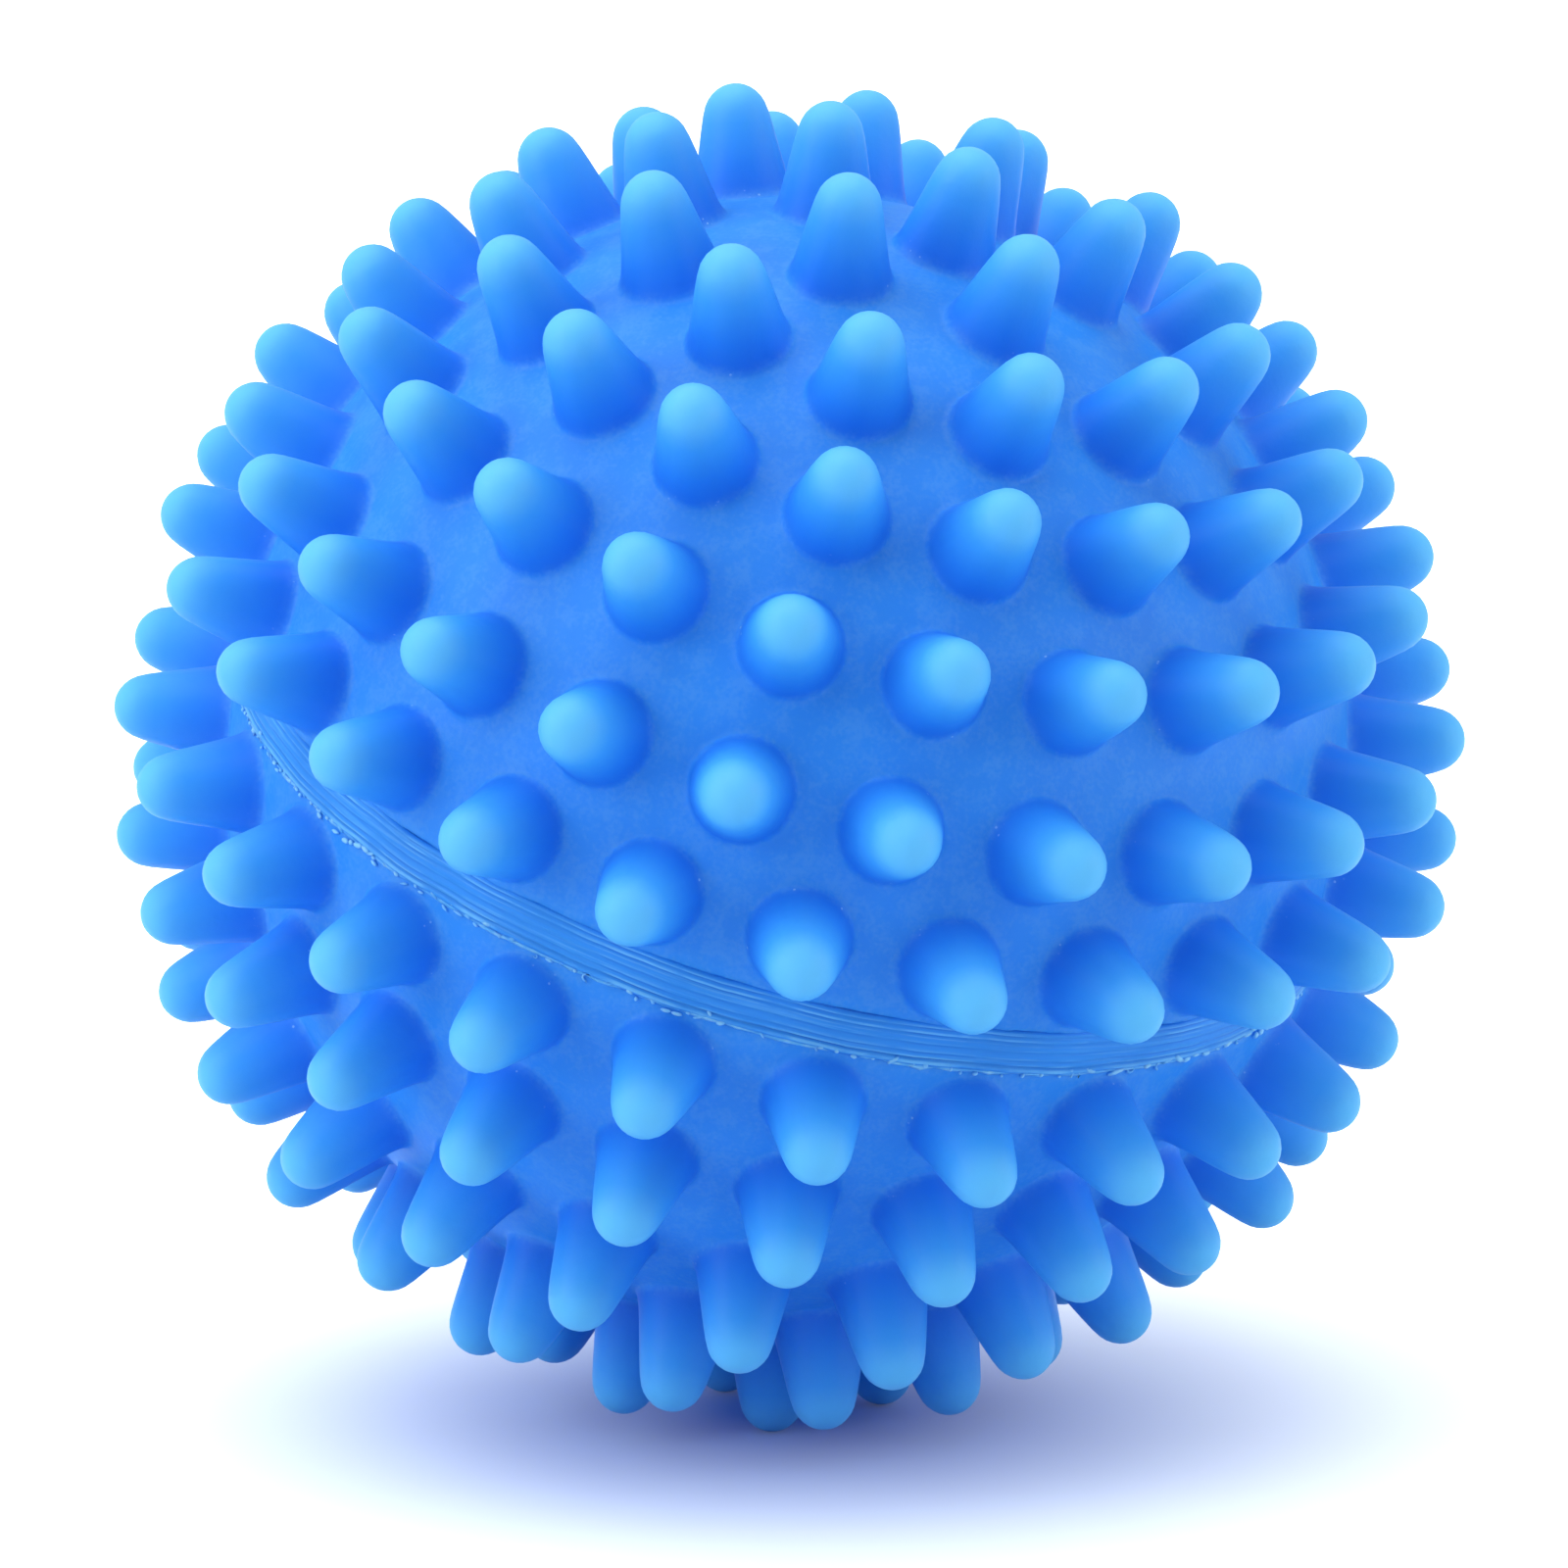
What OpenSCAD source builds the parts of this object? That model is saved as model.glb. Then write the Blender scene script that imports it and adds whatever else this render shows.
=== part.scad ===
// Spiked dryer ball: two moulded half shells, joined rim to rim by a spin weld.
// Each half is designed about the mould axis (local Z, joint plane at local Z = 0),
// and the whole ball is then stood on the floor (Z = 0) on three of its spikes.

/* [Ball] */
// Diameter of the ball over its spike tips
tip_to_tip = 70; // [60:1:90]
// Thickness of the shell wall
wall = 2.2; // [1.8:0.1:3]
// Angle that the standing ball is turned about the vertical
facing = -95; // [-180:1:180]

/* [Spikes] */
// Length of a spike from the shell to its tip
spike_length = 5.75; // [4:0.25:8]
// Radius of the rounded tip
tip_r = 1.72; // [1.2:0.02:2]
// Radius of a spike just above its root
root_r = 2.45; // [2:0.05:3]
// Width of the small flare around the root
flare_w = 0.5; // [0.2:0.05:0.6]
// Height of the small flare around the root
flare_h = 0.6; // [0.3:0.05:0.9]
// Latitude of the first ring of spikes on each side of the joint, or more where the flash needs it
first_latitude = 8.2; // [7:0.1:12]
// Latitude of each further ring of spikes, up to the pole
further_latitudes = [20.4, 34.8, 48.5, 62, 76.2]; // [15:0.1:85]
// Spikes in each ring of the upper half, from the joint to the pole
upper_counts = [24, 23, 21, 17, 12, 5]; // [3:1:30]
// Spikes in each ring of the lower half, from the joint to the pole
lower_counts = [24, 24, 21, 17, 12, 5]; // [3:1:30]
// Longitude of the first spike in each ring of the upper half
upper_turns = [6, 12, 13.5, 17.5, 22, 30.5]; // [0:0.5:120]
// Longitude of the first spike in each ring of the lower half
lower_turns = [12, 13, 13, 9.5, 5, 51]; // [0:0.5:120]

/* [Joint] */
// Thickness of the tongue on the upper rim
tongue_t = 0.7; // [0.5:0.05:0.9]
// Length of the tongue below the joint plane
tongue_l = 1.2; // [0.8:0.1:2]
// Gap on each side of the tongue in its groove
tongue_gap = 0.1; // [0.05:0.05:0.2]
// Height of the fused plastic under the tongue
core_h = 0.3; // [0.2:0.1:0.6]
// Width of the weld band across the joint
band_w = 2.2; // [1.6:0.1:3]
// Height of the weld band above the shell
band_proud = 0.2; // [0.1:0.05:0.5]
// Depth of the weld band's seat in the two rims
band_seat = 0.3; // [0.2:0.05:0.4]
// Number of fine ridges that run around the weld band
band_ridges = 4; // [2:1:6]
// Depth of the grooves between the ridges
ridge_depth = 0.12; // [0.05:0.01:0.2]
// Thickness of the flash left along the band's lower edge
flash_t = 0.15; // [0.1:0.05:0.3]
// Height of the flash above the band
flash_proud = 0.2; // [0.1:0.05:0.5]
// Width of the bead inside the joint
bead_w = 1.4; // [1:0.1:2]
// Height of the bead inside the joint
bead_proud = 0.5; // [0.3:0.05:0.8]
// Depth of the bead's seat in the two rims
bead_seat = 0.1; // [0.05:0.05:0.2]

/* [Hidden] */
$fn = 64;
tip_steps = 5;               // straight steps in the tip's rounded outline
tip_end = 82;                // angle on the tip's curve where it ends in a tiny flat
sink = 0.15;                 // depth at which the flare's foot is buried in the shell
over = 1;                    // overshoot of a cut past the face that it opens
foot_play = 0.04;            // angle by which a flare's buried foot may run in under the flash

ball_r = tip_to_tip / 2;
shell_r = ball_r - spike_length;
inner_r = shell_r - wall;
mid_r = shell_r - wall / 2;  // radius at the middle of the wall
tip_z = ball_r - tip_r;      // distance of a tip's centre from the ball's centre
foot_r = root_r + flare_w;
foot_z = sqrt(shell_r * shell_r - foot_r * foot_r) - sink;
root_z = foot_z + sink + flare_h;
// The least latitude at which a spike's flare keeps clear of the flash
clear_latitude = asin((band_w / 2 + flash_t) / shell_r) + asin(foot_r / shell_r) - foot_play;
latitudes = concat([max(first_latitude, clear_latitude)], further_latitudes);
// Half angle of the cone that leaves the root and runs on smoothly into the rounded tip
taper = atan2(root_r, tip_z - root_z) - asin(tip_r / norm([root_r, tip_z - root_z]));

seat_r = shell_r - band_seat;
bead_r = inner_r + bead_seat;
groove_t = tongue_t + 2 * tongue_gap;
groove_l = tongue_l + core_h;

// The three neighbouring spikes of the lower half that the ball stands on, as [ring, number]
standing_on = [[4, 1], [4, 2], [5, 0]];

// Unit vector from the ball's centre along a spike; side is 1 for the upper half, -1 for the lower
function spike_axis(side, latitude, longitude) =
    [cos(latitude) * cos(longitude), cos(latitude) * sin(longitude), side * sin(latitude)];

function lower_spike(ring, number) =
    spike_axis(-1, latitudes[ring], lower_turns[ring] + 360 / lower_counts[ring] * number);

feet = [for (f = standing_on) lower_spike(f[0], f[1])];
plane_normal = cross(feet[1] - feet[0], feet[2] - feet[0]);
down = plane_normal * sign(plane_normal * feet[0]) / norm(plane_normal);
centre_h = tip_z * (down * feet[0]) + tip_r;

// Stands the ball on its three feet, with their common plane on the floor
module stand() {
    translate([0, 0, centre_h])
        rotate([0, 0, facing])
            rotate(a = acos(-down[2]), v = cross(down, [0, 0, -1]))
                children();
}

module ring(outer_r, inner_r, low_z, high_z) {
    rotate_extrude()
        translate([inner_r, low_z])
            square([outer_r - inner_r, high_z - low_z]);
}

// One spike along +Z, from inside the shell wall to its rounded tip
module spike() {
    rounded_tip = [
        for (i = [0 : tip_steps])
            let (angle = taper + (tip_end - taper) * i / tip_steps)
                [tip_r * cos(angle), tip_z + tip_r * sin(angle)]
    ];
    buried = [[0, mid_r], [root_r, mid_r], [foot_r, foot_z], [root_r, root_z]];
    tip_flat = [[0, tip_z + tip_r * sin(tip_end)]];
    rotate_extrude()
        polygon(concat(buried, rounded_tip, tip_flat));
}

module spikes(side, counts, turns) {
    for (ring = [0 : len(latitudes) - 1])
        for (i = [0 : counts[ring] - 1])
            rotate([0, 90 - side * latitudes[ring], turns[ring] + 360 / counts[ring] * i])
                spike();
    rotate([0, 90 - side * 90, 0])
        spike();
}

// Half of the hollow shell with its spikes, cut back where the weld band and the inner bead sit
module spiked_half(side, counts, turns) {
    difference() {
        union() {
            difference() {
                sphere(shell_r);
                sphere(inner_r);
                translate([0, 0, -side * ball_r])
                    cube(2 * ball_r, center = true);
            }
            spikes(side, counts, turns);
        }
        ring(shell_r + over, seat_r, -band_w / 2, band_w / 2);
        ring(bead_r, inner_r - over, -bead_w / 2, bead_w / 2);
    }
}

module upper_half() {
    color("cornflowerblue")
        stand() {
            spiked_half(1, upper_counts, upper_turns);
            ring(mid_r + tongue_t / 2, mid_r - tongue_t / 2, -tongue_l, 0);
        }
}

module lower_half() {
    color("cornflowerblue")
        stand()
            difference() {
                spiked_half(-1, lower_counts, lower_turns);
                ring(mid_r + groove_t / 2, mid_r - groove_t / 2, -groove_l, over);
            }
}

// Band of squeezed-out plastic that closes the joint outside, with fine ridges around it
module weld_band() {
    pitch = band_w / band_ridges;
    crest = shell_r + band_proud;
    ridged_side = [
        for (i = [0 : band_ridges - 1])
            for (corner = [[ridge_depth, 0], [0, 0.35], [0, 0.65]])
                [crest - corner[0], -band_w / 2 + pitch * (i + corner[1])]
    ];
    color("royalblue")
        stand()
            rotate_extrude()
                polygon(concat(
                    [[seat_r, band_w / 2], [seat_r, -band_w / 2]],
                    ridged_side,
                    [[crest - ridge_depth, band_w / 2]]
                ));
}

// Thin skirt of flash that the trimming left along the lower edge of the band
module flash_fringe() {
    color("lightsteelblue")
        stand()
            ring(shell_r + band_proud + flash_proud, shell_r, -band_w / 2 - flash_t, -band_w / 2);
}

// Fused plastic that fills the groove under the tongue
module weld_core() {
    color("royalblue")
        stand()
            ring(mid_r + groove_t / 2, mid_r - groove_t / 2, -groove_l, -tongue_l);
}

// Bead of squeezed-out plastic inside the joint
module inner_bead() {
    color("royalblue")
        stand()
            rotate_extrude()
                polygon([
                    [bead_r, -bead_w / 2],
                    [bead_r, bead_w / 2],
                    [bead_r - bead_seat, bead_w / 2],
                    [inner_r - bead_proud, bead_w / 5],
                    [inner_r - bead_proud, -bead_w / 5],
                    [bead_r - bead_seat, -bead_w / 2]
                ]);
}

upper_half();
lower_half();
weld_band();
flash_fringe();
weld_core();
inner_bead();
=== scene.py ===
import math
import random

import bpy
from mathutils import Matrix, Vector


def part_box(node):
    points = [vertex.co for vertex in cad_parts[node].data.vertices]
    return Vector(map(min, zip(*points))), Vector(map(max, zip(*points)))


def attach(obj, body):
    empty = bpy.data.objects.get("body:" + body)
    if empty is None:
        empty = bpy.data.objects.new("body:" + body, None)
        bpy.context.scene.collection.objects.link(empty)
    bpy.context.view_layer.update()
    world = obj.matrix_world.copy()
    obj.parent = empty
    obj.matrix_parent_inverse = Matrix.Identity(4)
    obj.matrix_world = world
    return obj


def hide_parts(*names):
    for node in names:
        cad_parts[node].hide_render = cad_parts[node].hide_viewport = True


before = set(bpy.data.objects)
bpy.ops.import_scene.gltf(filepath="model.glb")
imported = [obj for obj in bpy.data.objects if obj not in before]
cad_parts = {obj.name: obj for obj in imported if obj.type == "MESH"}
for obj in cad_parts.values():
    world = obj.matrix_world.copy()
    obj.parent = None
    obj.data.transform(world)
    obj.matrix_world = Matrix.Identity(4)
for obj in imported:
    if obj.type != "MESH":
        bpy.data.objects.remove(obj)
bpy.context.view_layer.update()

# ------------------------------------------------------------------------------------------
# The two half shells. Each is one moulding in soft, slightly see-through PVC: a thin
# hemisphere with all its rounded spikes moulded on, which flow into it with a small flare.
# Spikes stand in rings about the mould axis, and the finished ball stands on three of them.
mm = 0.001
shell_r = 29.25 * mm
inner_r = 27.05 * mm
tip_r = 1.72 * mm
tip_centre_r = 33.24 * mm  # from the ball's centre to the centre of a spike's round tip
foot_r = 2.98 * mm         # where the flare of a spike meets the shell
root_r = 2.45 * mm         # just above the flare
flare_h = 0.6 * mm
rim_z = 1.1 * mm           # the shells stop here, at the weld band's edges
seat_depth = 0.3 * mm      # step in the rims that the weld band sits in

ring_latitudes = [8.2, 20.4, 34.8, 48.5, 62, 76.2]
ring_counts = {"upper": [24, 23, 21, 17, 12, 5], "lower": [24, 24, 21, 17, 12, 5]}
ring_turns = {"upper": [6, 12, 13.5, 17.5, 22, 30.5], "lower": [12, 13, 13, 9.5, 5, 51]}
side_of = {"upper": 1, "lower": -1}


def spike_angles(half):
    """Latitude and longitude of every spike of one half, in degrees."""
    places = [
        (side_of[half] * latitude, turn + 360 / count * i)
        for latitude, count, turn in zip(ring_latitudes, ring_counts[half], ring_turns[half])
        for i in range(count)
    ]
    return places + [(side_of[half] * 90, 0)]


def direction(latitude, longitude):
    """The way from the ball's centre to a place on it, with the mould axis along Z."""
    up, around = math.radians(latitude), math.radians(longitude)
    return Vector((
        math.cos(up) * math.cos(around), math.cos(up) * math.sin(around), math.sin(up)
    ))


# The ball stands on two neighbours of the lower half's fifth ring and one of its sixth.
lower_angles = spike_angles("lower")
fifth_start, sixth_start = (sum(ring_counts["lower"][:rings]) for rings in (4, 5))
feet = [
    direction(*lower_angles[spike])
    for spike in (fifth_start + 1, fifth_start + 2, sixth_start)
]
down = (feet[1] - feet[0]).cross(feet[2] - feet[0]).normalized()
down *= math.copysign(1, down.dot(feet[0]))
facing = math.radians(-95)  # turns the ball's front towards the viewer, at -Y

band_low, band_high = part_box("weld_band")
ball_centre = (band_low + band_high) / 2
standing = (
    Matrix.Translation(ball_centre)
    @ Matrix.Rotation(facing, 4, "Z")
    @ down.rotation_difference(Vector((0, 0, -1))).to_matrix().to_4x4()
)


def deselect_all():
    if bpy.context.object and bpy.context.object.mode != "OBJECT":
        bpy.ops.object.mode_set(mode="OBJECT")
    bpy.ops.object.select_all(action="DESELECT")


def select_only(piece):
    """Leaves one piece selected and active."""
    deselect_all()
    piece.select_set(True)
    bpy.context.view_layer.objects.active = piece


def copy_of(pattern, place):
    """A copy with a mesh of its own, selected, so that a join takes it in."""
    copy = bpy.data.objects.new(pattern.name, pattern.data.copy())
    bpy.context.scene.collection.objects.link(copy)
    copy.matrix_world = place
    copy.select_set(True)
    return copy


def apply_modifiers(piece):
    select_only(piece)
    for modifier in list(piece.modifiers):
        bpy.ops.object.modifier_apply(modifier=modifier.name)


def stand_up(piece, name):
    """Puts a piece that was modelled about the mould axis in its place in the standing ball."""
    piece.name = piece.data.name = name
    select_only(piece)
    piece.matrix_world = standing
    bpy.ops.object.transform_apply(location=True, rotation=True, scale=True)
    bpy.ops.object.shade_smooth()
    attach(piece, "root")


def select_where(piece, test):
    """Selects the vertices that pass the test, and opens the piece in edit mode."""
    if piece.mode != "OBJECT":
        bpy.ops.object.mode_set(mode="OBJECT")
    for part in (piece.data.polygons, piece.data.edges):
        part.foreach_set("select", [False] * len(part))
    for v in piece.data.vertices:
        v.select = test(v.co)
    bpy.ops.object.mode_set(mode="EDIT")
    bpy.ops.mesh.select_mode(type="VERT")


def draw_out(rows, sides):
    """Insets the selected faces one row at a time: (radius, height) pairs, from the first."""
    shrink = math.cos(math.pi / sides)
    for (r0, z0), (r1, z1) in zip(rows, rows[1:]):
        bpy.ops.mesh.inset(
            thickness=(r0 - r1) * shrink, depth=z1 - z0, use_individual=True,
            use_boundary=True, use_even_offset=True,
        )


def moulded_half(half):
    """One half shell with its spikes, about the mould axis and with the joint at Z = 0."""
    spike_sides, rim_sides = 12, 144
    bare_skin = 0.8 * mm  # left free of points round each spike and along the rim
    side = side_of[half]
    axes = [direction(*angles) for angles in spike_angles(half)]
    foot_disc_z = math.sqrt(shell_r**2 - foot_r**2)
    rim_r = math.sqrt(shell_r**2 - rim_z**2)

    # Loose points over the shell, clear of every spike and of the rim.
    deselect_all()
    bpy.ops.mesh.primitive_ico_sphere_add(subdivisions=5, radius=shell_r)
    shell = bpy.context.object
    too_near = math.cos((foot_r + bare_skin) / shell_r)
    select_where(
        shell,
        lambda co: side * co.z < rim_z + bare_skin
        or max(co.normalized().dot(axis) for axis in axes) > too_near,
    )
    bpy.ops.mesh.delete(type="VERT")
    bpy.ops.mesh.select_all(action="SELECT")
    bpy.ops.mesh.delete(type="EDGE_FACE")
    bpy.ops.object.mode_set(mode="OBJECT")

    # A flat disc under each spike and one across the rim, wrapped with the points in a skin.
    deselect_all()
    bpy.ops.mesh.primitive_circle_add(vertices=spike_sides, radius=foot_r, fill_type="NGON")
    disc = bpy.context.object
    for latitude, longitude in spike_angles(half):
        copy_of(
            disc,
            Matrix.Rotation(math.radians(longitude), 4, "Z")
            @ Matrix.Rotation(math.radians(90 - latitude), 4, "Y")
            @ Matrix.Translation((0, 0, foot_disc_z)),
        )
    bpy.data.objects.remove(disc)
    shell.select_set(True)
    bpy.context.view_layer.objects.active = shell
    bpy.ops.object.join()
    bpy.ops.object.mode_set(mode="EDIT")
    bpy.ops.mesh.primitive_circle_add(
        vertices=rim_sides, radius=rim_r, fill_type="NGON",
        location=(0, 0, side * rim_z), rotation=(math.pi if side > 0 else 0, 0, 0),
    )
    bpy.ops.mesh.select_all(action="SELECT")
    bpy.ops.mesh.convex_hull(use_existing_faces=True, join_triangles=False)
    bpy.ops.mesh.select_all(action="SELECT")
    bpy.ops.mesh.normals_make_consistent(inside=False)

    # All the spikes are drawn out together, up the flare, along the taper and over the tip.
    # Smoothing pulls a ring of points in, so each ring is drawn wider by its swell.
    bpy.ops.mesh.select_mode(type="FACE")
    bpy.ops.mesh.select_all(action="DESELECT")
    bpy.ops.mesh.select_face_by_sides(number=spike_sides, type="EQUAL")
    swell = 1 / (0.75 + 0.25 * math.cos(2 * math.pi / spike_sides))
    lip_in, lip_up = 0.2 * mm, 0.08 * mm
    taper = 10.9
    tip_rows = [
        (swell * tip_r * math.cos(angle), tip_centre_r + swell * tip_r * math.sin(angle))
        for angle in (math.radians(degrees) for degrees in (taper, 36, 60, 80))
    ]
    root_z = foot_disc_z + flare_h
    foot_row = (foot_r, foot_disc_z)
    lip_row = (foot_r - lip_in, foot_disc_z + lip_up)
    root_row = (swell * root_r, root_z)
    halfway_row = ((swell * root_r + tip_rows[0][0]) / 2, (root_z + tip_rows[0][1]) / 2)
    draw_out([foot_row, lip_row, root_row, halfway_row] + tip_rows, spike_sides)

    # The rim: a step for the weld band, the joint face and the inner wall of the shell.
    bpy.ops.mesh.select_all(action="DESELECT")
    bpy.ops.mesh.select_face_by_sides(number=rim_sides, type="EQUAL")
    seat_rows = [(rim_r, 0), (rim_r - seat_depth, 0), (rim_r - seat_depth, rim_z)]
    inner_rows = [
        (inner_r * math.cos(angle), rim_z - inner_r * math.sin(angle))
        for angle in (math.radians(degrees) for degrees in (0, 15, 30, 45, 60, 75, 86))
    ]
    draw_out(seat_rows + inner_rows, rim_sides)
    bpy.ops.object.mode_set(mode="OBJECT")

    smoothing = shell.modifiers.new("smoothing", "SUBSURF")
    smoothing.levels = smoothing.render_levels = 1
    smoothing.use_limit_surface = False
    apply_modifiers(shell)

    # The skin between the spikes goes back onto a true sphere.
    skin_play, rim_strip = 0.07 * mm, 0.3 * mm
    skin = shell.vertex_groups.new(name="skin")
    skin.add(
        [
            v.index for v in shell.data.vertices
            if abs(v.co.length - shell_r) < skin_play and side * v.co.z > rim_z + rim_strip
        ],
        1, "REPLACE",
    )
    rounding = shell.modifiers.new("rounding", "CAST")
    rounding.cast_type, rounding.factor = "SPHERE", 1
    rounding.use_radius_as_size, rounding.radius = False, 0
    rounding.size = shell_r
    rounding.vertex_group = skin.name
    apply_modifiers(shell)
    return shell


def paint(red, green, blue):
    """A colour as painters write it, 0 to 255, turned into the shader's linear one."""
    return tuple(
        c / 12.92 if c <= 0.04045 else ((c + 0.055) / 1.055) ** 2.4
        for c in (red / 255, green / 255, blue / 255)
    ) + (1,)


class Socket:
    """A shader node's output. Python's operators on one that gives a number add Math nodes."""

    def __init__(self, finish, socket):
        self.finish, self.socket = finish, socket

    def __add__(self, other):
        return self.finish.math("ADD", self, other)

    def __sub__(self, other):
        return self.finish.math("SUBTRACT", self, other)

    def __rsub__(self, other):
        return self.finish.math("SUBTRACT", other, self)

    def __mul__(self, other):
        return self.finish.math("MULTIPLY", self, other)

    def __truediv__(self, other):
        return self.finish.math("DIVIDE", self, other)

    __radd__, __rmul__ = __add__, __mul__


class Finish:
    """One procedural material: its nodes, and the Principled shader that they feed."""

    def __init__(self, name):
        self.material = bpy.data.materials.new(name)
        self.material.use_nodes = True
        self.tree = self.material.node_tree
        self.shader = self.tree.nodes["Principled BSDF"]

    def put(self, target, value):
        """Links a Socket to an input, or sets the input to a constant."""
        if isinstance(value, Socket):
            self.tree.links.new(value.socket, target)
        else:
            target.default_value = value

    def node(self, kind, output, settings, sockets):
        """Adds a node, sets its settings and then its sockets, and gives one output.

        The setting "stops" fills a colour ramp: (place, colour) pairs, from first to last.
        """
        node = self.tree.nodes.new("ShaderNode" + kind)
        for name, setting in settings.items():
            if name == "stops":
                ramp = node.color_ramp.elements
                for place, colour in setting[1:-1]:
                    ramp.new(place)
                for element, (place, colour) in zip(ramp, setting):
                    element.position, element.color = place, colour
            else:
                setattr(node, name, setting)
        for name, value in sockets.items():
            self.put(node.inputs[name], value)
        return Socket(self, node.outputs[output])

    def math(self, operation, first, second):
        return self.node("Math", 0, {"operation": operation}, {0: first, 1: second})

    def between(self, value, low, high):
        """0 where the value is below low, 1 above high, with a smooth step between."""
        return self.node(
            "MapRange", "Result", {"interpolation_type": "SMOOTHSTEP"},
            {"Value": value, "From Min": low, "From Max": high},
        )

    def mix(self, amount, first, second):
        """The first colour where the amount is 0, the second where it is 1."""
        return self.node("Mix", 2, {"data_type": "RGBA"}, {0: amount, 6: first, 7: second})

    def ball_place(self):
        """Where a point is in the ball's own frame, in millimetres, z along the mould axis."""
        here = self.node("TexCoord", "Object", {}, {})
        return self.node(
            "Mapping", 0, {"vector_type": "TEXTURE"},
            {"Vector": here, "Location": ball_centre, "Rotation": standing.to_euler(),
             "Scale": (mm, mm, mm)},
        )

    def length(self, vector):
        return self.node("VectorMath", "Value", {"operation": "LENGTH"}, {0: vector})

    def noise(self, place, scale, detail):
        """Soft clouds: a place in millimetres, and how many clouds there are to one."""
        return self.node(
            "TexNoise", 0, {}, {"Vector": place, "Scale": scale, "Detail": detail}
        )

    def bump(self, height, depth, strength):
        return self.node(
            "Bump", 0, {}, {"Height": height, "Distance": depth, "Strength": strength}
        )

    def dress(self, base, roughness, normal, **constants):
        """Feeds the shader: three sockets that vary, then the ones that are the same all over."""
        self.put(self.shader.inputs["Base Color"], base)
        self.put(self.shader.inputs["Roughness"], roughness)
        self.put(self.shader.inputs["Normal"], normal)
        for name, value in constants.items():
            self.shader.inputs[name.replace("_", " ")].default_value = value


# Clear pigment looks deeper where the plastic is thick and paler where it is thin, towards the
# spikes' tips.
# Over this the colour paints shade as a darker ring in the crease at each spike's root, and
# paints light on the thin tips. The skin between is duller and faintly blotched from the mould.
shell_blue = paint(44, 141, 236)
root_shade_blue = paint(34, 126, 231)
spike_blue = paint(42, 142, 238)
azure = paint(62, 164, 244)
thin_tip_glow_cyan = paint(98, 192, 248)
bloom_blue = paint(78, 156, 235)
speck_white = paint(150, 205, 248)
pvc_body = {
    "IOR": 1.53, "Specular_IOR_Level": 0.22, "Subsurface_Weight": 0.2,
    "Subsurface_Radius": (0.35, 0.7, 1.0), "Subsurface_Scale": 1.2 * mm,
}

pvc = Finish("soft_pvc")
place = pvc.ball_place()
spike_length = tip_centre_r + tip_r - shell_r
up_spike = (pvc.length(place) - shell_r / mm) / (spike_length / mm)
# Up each spike: painted shade in the crease at the root, and painted light on the thin tip, over
# the plastic's own deeper blue where it is thick.
depth_shade_and_glow = pvc.node(
    "ValToRGB", "Color",
    {"stops": [
        (0, shell_blue), (0.06, root_shade_blue), (0.3, spike_blue), (0.66, azure), (1, thin_tip_glow_cyan),
    ]},
    {"Fac": up_spike},
)
on_skin = 1 - pvc.between(up_spike, low=0.01, high=0.12)
on_flare = pvc.between(up_spike, low=0.0, high=0.03) * (
    1 - pvc.between(up_spike, low=0.06, high=0.16)
)
blotches = pvc.noise(place, scale=0.8, detail=5.0)
grain = pvc.noise(place, scale=4.0, detail=3.0)
bloom = on_skin * pvc.between(blotches * 0.55 + grain * 0.45, low=0.42, high=0.64)
off_speck = pvc.node("TexVoronoi", "Distance", {}, {"Vector": place, "Scale": 2.4})
in_speck = 1 - pvc.between(off_speck, low=0.12, high=0.2)
specks = in_speck * on_flare * pvc.between(blotches, low=0.58, high=0.66)
bloom_strength, speck_strength = 0.5, 0.7
bloomed = pvc.mix(bloom * bloom_strength, depth_shade_and_glow, bloom_blue)
pvc.dress(
    base=pvc.mix(specks * speck_strength, bloomed, speck_white),
    roughness=0.46 + 0.12 * blotches,
    normal=pvc.bump(
        blotches * 0.8 + grain * on_skin * 0.25, depth=0.12 * mm, strength=0.5
    ),
    **pvc_body,
)

for half in ("upper", "lower"):
    shell = moulded_half(half)
    shell.data.materials.append(pvc.material)
    stand_up(shell, half + "_shell")
    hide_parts(half + "_half")

# ------------------------------------------------------------------------------------------
# The weld band: the rims are spun against each other until they melt, and the squeezed-out
# plastic is rolled down into a low band. Its fine furrows run round the ball and wander.
# Each row: its height over the joint and how proud of the shell it is, in mm, and its tone: 1 at
# the bottom of a furrow, painted dark as shade, -1 on a crest, painted pale as a highlight, and 0
# on plain band.
band_rows = [
    (1.22, -0.06, 0), (1.1, 0.03, 0), (0.98, 0.08, -0.7), (0.9, 0.0, 0.8), (0.82, 0.08, 0),
    (0.66, 0.09, -1), (0.56, 0.0, 0.9), (0.46, 0.1, -0.6), (0.34, 0.1, 0), (0.16, 0.12, -0.5),
    (0.06, 0.04, 0.6), (-0.06, 0.12, 0), (-0.32, 0.11, -0.6), (-0.41, 0.03, 0.7),
    (-0.5, 0.11, 0), (-0.66, 0.13, -1), (-0.76, -0.07, 1), (-0.86, 0.12, -0.7), (-0.98, 0.14, -1),
    (-1.1, 0.07, 0), (-1.22, -0.06, 0),
]
band_edge = band_rows[0][0] * mm
band_thickness = 0.25 * mm


def roughen(piece, name, size, amount, way="NORMAL"):
    """Moves a surface in and out, or along one axis, by clouds of the given size."""
    clouds = bpy.data.textures.new(name, "CLOUDS")
    clouds.noise_scale = size
    displace = piece.modifiers.new(name, "DISPLACE")
    displace.texture, displace.strength, displace.direction = clouds, amount, way
    displace.mid_level = 0.5


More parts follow.
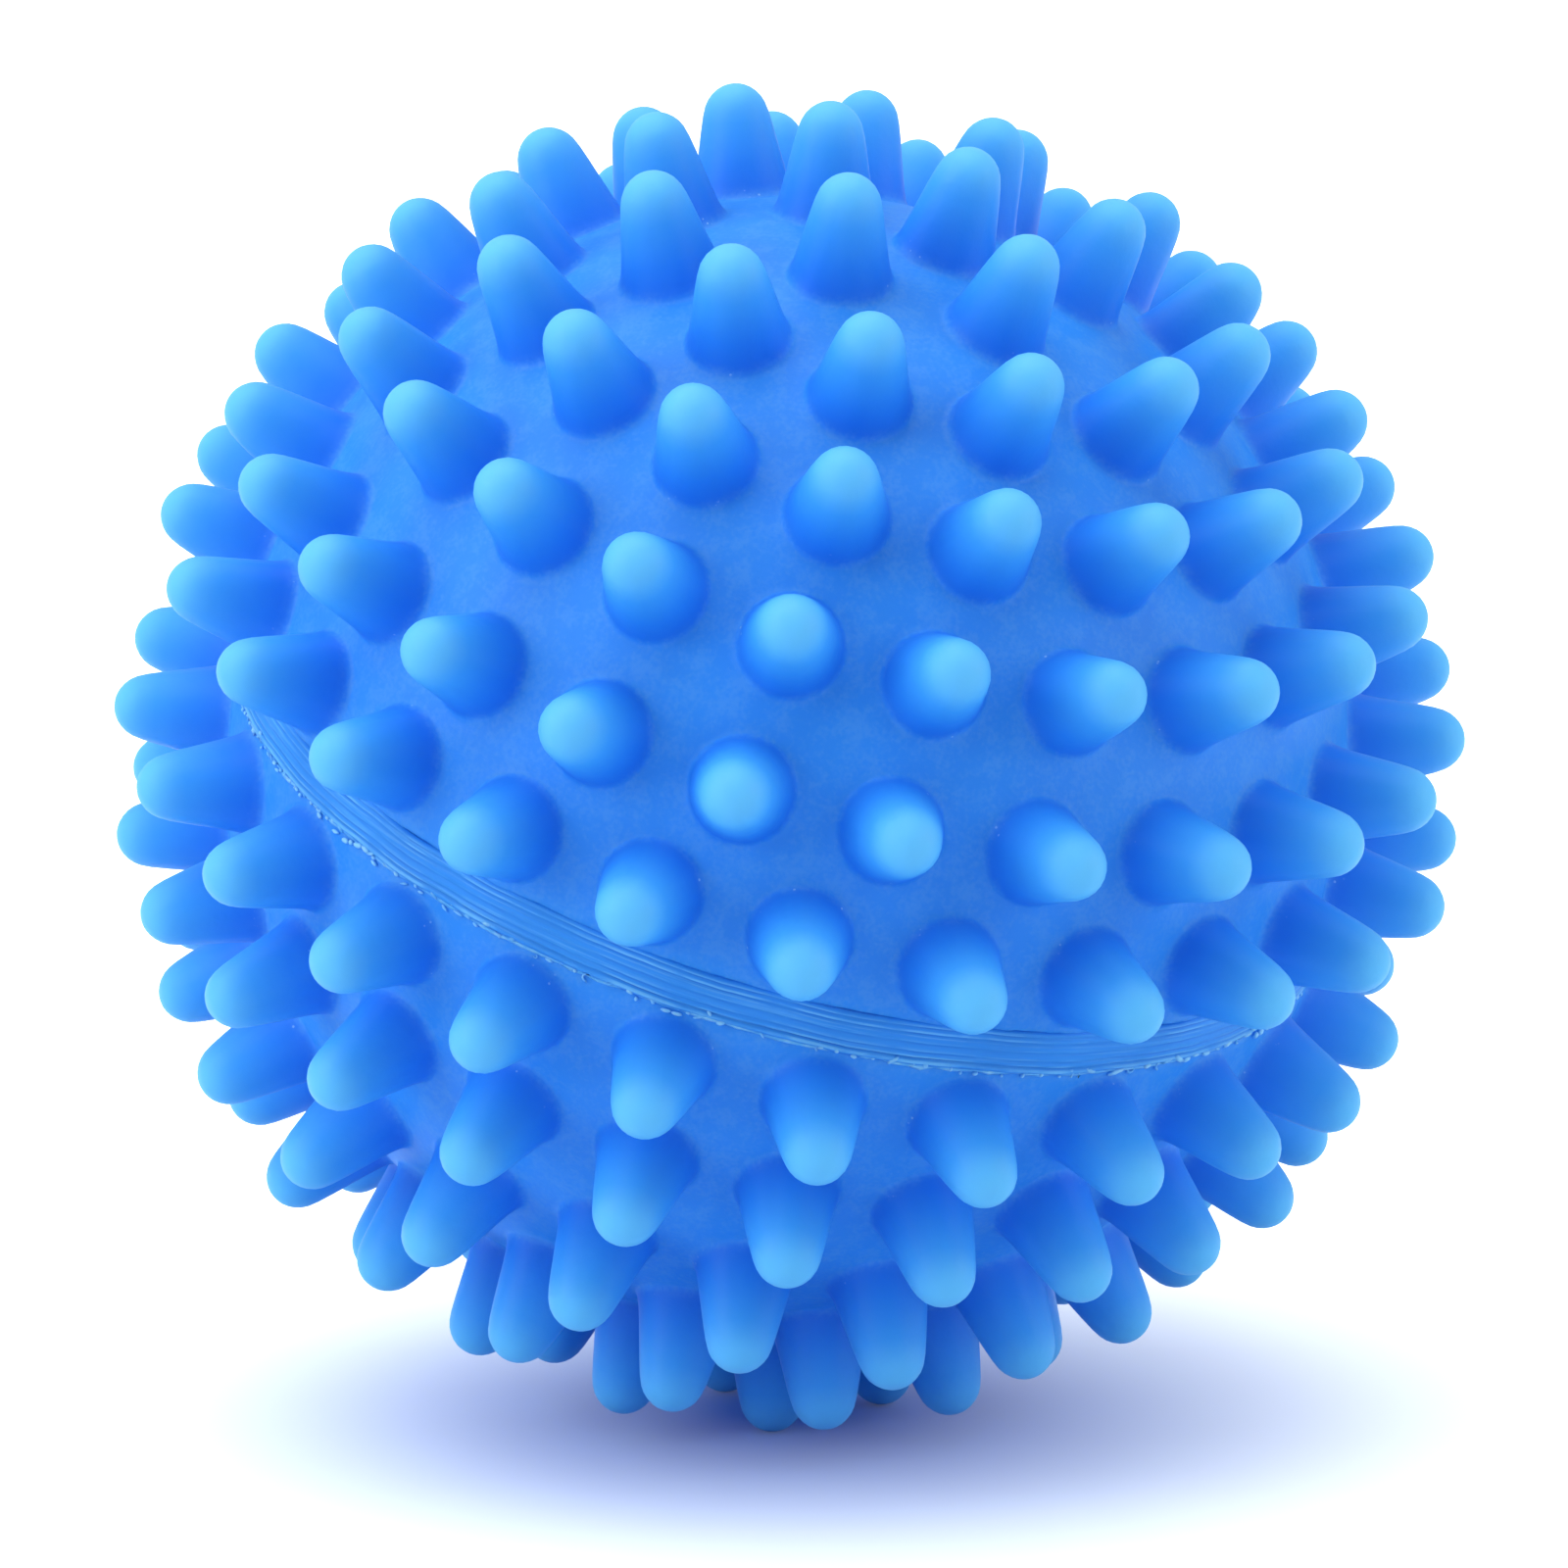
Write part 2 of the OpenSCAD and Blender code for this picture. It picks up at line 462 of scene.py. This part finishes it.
deselect_all()
bpy.ops.mesh.primitive_cylinder_add(
    vertices=540, radius=shell_r, depth=2 * band_edge, end_fill_type="NOTHING"
)
band = bpy.context.object
bpy.ops.object.mode_set(mode="EDIT")
for height, _, _ in band_rows[1:-1]:
    bpy.ops.mesh.select_all(action="SELECT")
    bpy.ops.mesh.bisect(
        plane_co=(0, 0, height * mm), plane_no=(0, 0, 1), threshold=0.001 * mm
    )
for height, proud, _ in band_rows:
    select_where(band, lambda co: abs(co.z - height * mm) < 0.01 * mm)
    row_r = math.sqrt(shell_r**2 - (height * mm) ** 2) + proud * mm
    bpy.ops.transform.resize(value=(row_r / shell_r, row_r / shell_r, 1))
bpy.ops.object.mode_set(mode="OBJECT")

# Each row keeps its tone, which sets the painted shade or highlight of the finish, however it
# wanders.
toned = band.data.attributes.new("tone", "FLOAT", "POINT")
for v, value in zip(band.data.vertices, toned.data):
    value.value = min((abs(v.co.z - height * mm), tone) for height, _, tone in band_rows)[1]
roughen(band, "wander", size=5 * mm, amount=0.3 * mm, way="Z")
roughen(band, "ripple", size=0.9 * mm, amount=0.05 * mm)
wall = band.modifiers.new("wall", "SOLIDIFY")
wall.thickness, wall.offset = band_thickness, -1
apply_modifiers(band)

# The furrow blue is painted shade and the pale ridge blue is a painted highlight; the pale blue
# also marks streaks along the band.
band_blue = paint(46, 142, 236)
furrow_shade_blue = paint(28, 104, 216)
pale_streak_and_highlight_blue = paint(110, 188, 248)
welded = Finish("welded_pvc")
place = welded.ball_place()
drawn_along = welded.node("Mapping", 0, {}, {"Vector": place, "Scale": (0.16, 0.16, 7.0)})
streaks = welded.noise(drawn_along, scale=1.0, detail=4.0)
grain = welded.noise(place, scale=4.0, detail=3.0)
patchy = welded.between(welded.noise(place, scale=0.3, detail=3.0), low=0.4, high=0.62)
tone = welded.node("Attribute", "Fac", {"attribute_name": "tone"}, {})
# Painted shade in the furrows and painted highlights on the crests, both stronger in random
# patches.
furrow_shade = welded.between(tone, low=0.1, high=1.0)
crest_highlight = welded.between(0 - tone, low=0.1, high=1.0)
streaked = welded.mix(
    welded.between(streaks, low=0.5, high=0.75) * 0.35, band_blue, pale_streak_and_highlight_blue
)
with_crest_highlights = welded.mix(crest_highlight * (0.1 + patchy * 0.8), streaked, pale_streak_and_highlight_blue)
welded.dress(
    base=welded.mix(furrow_shade * (0.08 + patchy * 0.72), with_crest_highlights, furrow_shade_blue),
    roughness=0.46 + 0.14 * streaks,
    normal=welded.bump(streaks + grain * 0.4, depth=0.05 * mm, strength=0.5),
    **pvc_body,
)
band.data.materials.append(welded.material)
stand_up(band, "rolled_weld_band")
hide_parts("weld_band")

# ------------------------------------------------------------------------------------------
# The flash: a hair of plastic that the spinning throws out past the band's lower edge. It
# turns white as it cools and frays into crumbs, slivers and curls that stick to the ball.
flash_z = -1.16 * mm
flash_seat_r = math.sqrt(shell_r**2 - flash_z**2)
hair_r = 0.1 * mm
hair_sunk = 0.03 * mm

deselect_all()
bpy.ops.mesh.primitive_torus_add(
    major_segments=1080, minor_segments=6, location=(0, 0, flash_z),
    major_radius=flash_seat_r - hair_sunk, minor_radius=hair_r,
)
flash = bpy.context.object
bpy.ops.object.transform_apply(location=True)
roughen(flash, "fray", size=0.45 * mm, amount=0.3 * mm)
roughen(flash, "drift", size=3.5 * mm, amount=0.3 * mm, way="Z")
apply_modifiers(flash)

# One crumb and one curl are modelled, each lying along the seam (Y). A sliver is a long crumb,
# and a curl is a ring with a gap in it.
curl_opening = 0.35
deselect_all()
bpy.ops.mesh.primitive_uv_sphere_add(segments=7, ring_count=5, radius=1)
crumb = bpy.context.object
deselect_all()
bpy.ops.mesh.primitive_torus_add(
    major_segments=9, minor_segments=4, major_radius=1, minor_radius=0.3,
    rotation=(0, math.radians(90), 0),
)
curl = bpy.context.object
bpy.ops.object.transform_apply(rotation=True)
select_where(curl, lambda co: co.y > curl_opening)
bpy.ops.mesh.delete(type="VERT")
bpy.ops.object.mode_set(mode="OBJECT")
select_only(curl)
bpy.ops.object.mode_set(mode="EDIT")
bpy.ops.mesh.select_all(action="DESELECT")
bpy.ops.mesh.select_non_manifold()
bpy.ops.mesh.edge_face_add()
bpy.ops.object.mode_set(mode="OBJECT")

# Stretches of the seam, from one longitude to another: the gap between crumbs, and their
# length and thickness, in mm.
frayed = [
    (284, 313, 0.18, 0.34, 0.2), (313, 322, 0.18, 0.5, 0.22), (322, 330, 0.5, 0.4, 0.17),
    (330, 338, 0.26, 0.6, 0.2), (338, 352, 1.0, 0.35, 0.15), (352, 362, 0.36, 0.45, 0.19),
    (362, 371, 2.6, 0.3, 0.14), (371, 380, 0.55, 0.5, 0.2), (380, 394, 0.9, 0.24, 0.24),
    (394, 398, 0.35, 0.4, 0.24), (398, 407, 0.6, 1.1, 0.22), (407, 424, 0.45, 0.7, 0.23),
    (424, 428, 0.35, 0.4, 0.32), (428, 440, 1.0, 0.4, 0.25), (440, 500, 0.8, 0.5, 0.22),
    (500, 560, 2.0, 0.4, 0.18), (560, 610, 0.6, 0.6, 0.23), (610, 644, 1.0, 0.4, 0.2),
]
curl_share, longest_curl = 0.12, 0.6 * mm
crumb_tilt, curl_tilt = 0.28, 1.2
stands_proud, strays = 0.07 * mm, 0.13
flatness = 0.9
curl_width, curl_height = 1.6, 0.8
chance = random.Random(11)
deselect_all()
for start, end, gap, length, thickness in frayed:
    longitude = start
    while longitude < end:
        curled = chance.random() < curl_share
        half_length = length * mm / 2 * chance.uniform(0.45, 1.5)
        half_thickness = thickness * mm / 2 * chance.uniform(0.6, 1.4)
        if curled:
            half_length = min(half_length, longest_curl / 2)
        tilt = chance.gauss(0, curl_tilt if curled else crumb_tilt)
        height = flash_z + chance.gauss(0, strays) * mm
        place_on_seam = (
            Matrix.Rotation(math.radians(longitude), 4, "Z")
            @ Matrix.Translation((flash_seat_r + stands_proud, 0, height))
            @ Matrix.Rotation(tilt, 4, "X")
            @ Matrix.Diagonal((half_thickness * flatness, half_length, half_thickness, 1))
        )
        if curled:
            place_on_seam = place_on_seam @ Matrix.Diagonal(
                (curl_width, 1, curl_height * half_length / half_thickness, 1)
            )
        copy_of(curl if curled else crumb, place_on_seam)
        step = (gap + length / 2) * mm * chance.uniform(0.5, 1.5)
        longitude += math.degrees(step / shell_r)
for pattern in (crumb, curl):
    bpy.data.objects.remove(pattern)
flash.select_set(True)
bpy.context.view_layer.objects.active = flash
bpy.ops.object.join()
roughen(flash, "crumple", size=0.25 * mm, amount=0.06 * mm)
apply_modifiers(flash)

cool_white = paint(150, 214, 251)
milky_blue = paint(84, 172, 245)
whitened = Finish("whitened_flash")
place = whitened.ball_place()
patches = whitened.noise(place, scale=2.2, detail=3.0)
stands_off = whitened.length(place) - shell_r / mm
pale = whitened.between(stands_off + patches * 0.3, low=0.17, high=0.4)
whitened.dress(
    base=whitened.mix(pale, milky_blue, cool_white),
    roughness=0.4 + 0.2 * patches,
    normal=whitened.bump(patches, depth=0.05 * mm, strength=1.0),
    **pvc_body,
)
flash.data.materials.append(whitened.material)
stand_up(flash, "frayed_flash")
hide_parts("flash_fringe")

# ------------------------------------------------------------------------------------------
# The fused core and the inner bead: melted PVC inside the joint, which shows only when a
# ball is cut open. They stay as they are and take the band's finish.
for name in ("weld_core", "inner_bead"):
    for material_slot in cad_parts[name].material_slots:
        material_slot.material = welded.material

# ------------------------------------------------------------------------------------------
# The table and its light: a white sweep that keeps only the ball's shadow, under a broad lamp
# overhead and one on each side.
# The shadow is partly cast by the lamps and partly painted: the table's white glow is held back
# near the ball, and its colour is painted blue there.
floor_size = 6.0
deselect_all()
bpy.ops.mesh.primitive_plane_add(size=floor_size)
floor = bpy.context.object
floor.name = "floor"

# Distances from where the ball stands, in metres: the painted shadow, where the white glow is
# held back, is full up to the first and gone at the second, and the painted blue shadow reaches
# the third.
full_shadow, shadow_end, painted_shadow_end = 0.003, 0.063, 0.035
painted_shadow_blue, plain_white = paint(104, 160, 228), paint(222, 233, 240)
dark, bright = paint(0, 0, 0), paint(255, 255, 255)
table = Finish("white_table")
away = table.length(table.node("TexCoord", "Object", {}, {}))
seen = table.node("LightPath", "Is Camera Ray", {}, {})
mirrored = table.node("LightPath", "Is Glossy Ray", {}, {})
through = table.node("LightPath", "Is Transmission Ray", {}, {})
# Painted shadow: the white glow that the camera sees comes in only away from the ball, so the
# table stays darker near it.
glow = (seen + mirrored + through) * ((away - full_shadow) / (shadow_end - full_shadow))
# Painted blue shadow: the table's own colour turns blue near the ball.
painted_shadow_colour = table.mix(table.between(away, low=0.0, high=painted_shadow_end), painted_shadow_blue, plain_white)
for name, value in (
    ("Base Color", painted_shadow_colour), ("Roughness", 0.8),
    ("Emission Color", table.mix(glow, dark, bright)), ("Emission Strength", 1),
):
    table.put(table.shader.inputs[name], value)
floor.data.materials.append(table.material)

view_height = math.radians(9.43)
view_distance = 0.400
aim_offset = Vector((-0.25, 0, -1.35)) * mm
bpy.ops.object.camera_add()
camera = bpy.context.object
camera.location = ball_centre + view_distance * Vector(
    (0, -math.cos(view_height), math.sin(view_height))
)
aim = ball_centre + aim_offset
camera.rotation_euler = (aim - camera.location).to_track_quat("-Z", "Y").to_euler()
camera.data.sensor_width = 36
camera.data.lens = 177.1
camera.data.clip_start, camera.data.clip_end = 0.01, 20
bpy.context.scene.camera = camera

for name, stand, size, power in (
    ("overhead lamp", (-0.15, -0.05, 0.7), 0.8, 3.4),
    ("left lamp", (-0.8, -0.4, 0.4), 0.6, 3.8),
    ("right lamp", (0.85, -0.2, 0.3), 0.6, 2.4),
):
    bpy.ops.object.light_add(type="AREA", location=stand)
    lamp = bpy.context.object
    lamp.name = name
    lamp.data.shape, lamp.data.size, lamp.data.energy = "SQUARE", size, power
    lamp.rotation_euler = (ball_centre - Vector(stand)).to_track_quat("-Z", "Y").to_euler()


class Surround(Finish):
    """The world's nodes, made in the same way as a finish."""

    def __init__(self, name):
        self.world = bpy.data.worlds.new(name)
        self.world.use_nodes = True
        self.tree = self.world.node_tree
        self.shader = self.tree.nodes["Background"]


# The tent is open towards the viewer (-Y), so less light comes from there. The camera sees
# it at full strength, as the white behind the ball.
tent_light, open_front_light, seen_light = 0.66, 0.3, 1
tent = Surround("light tent")
bearing = tent.node("TexCoord", "Generated", {}, {})
to_the_back = tent.node("SeparateXYZ", "Y", {}, {"Vector": bearing})
lit = tent.node(
    "MapRange", "Result", {},
    {"Value": to_the_back, "From Min": -1, "From Max": 0,
     "To Min": open_front_light, "To Max": tent_light},
)
seen = tent.node("LightPath", "Is Camera Ray", {}, {})
tent.put(
    tent.shader.inputs["Strength"], tent.node("Mix", 0, {}, {0: seen, 2: lit, 3: seen_light})
)
tent.put(tent.shader.inputs["Color"], paint(240, 247, 255))
bpy.context.scene.world = tent.world
bpy.context.scene.view_settings.view_transform = "Standard"
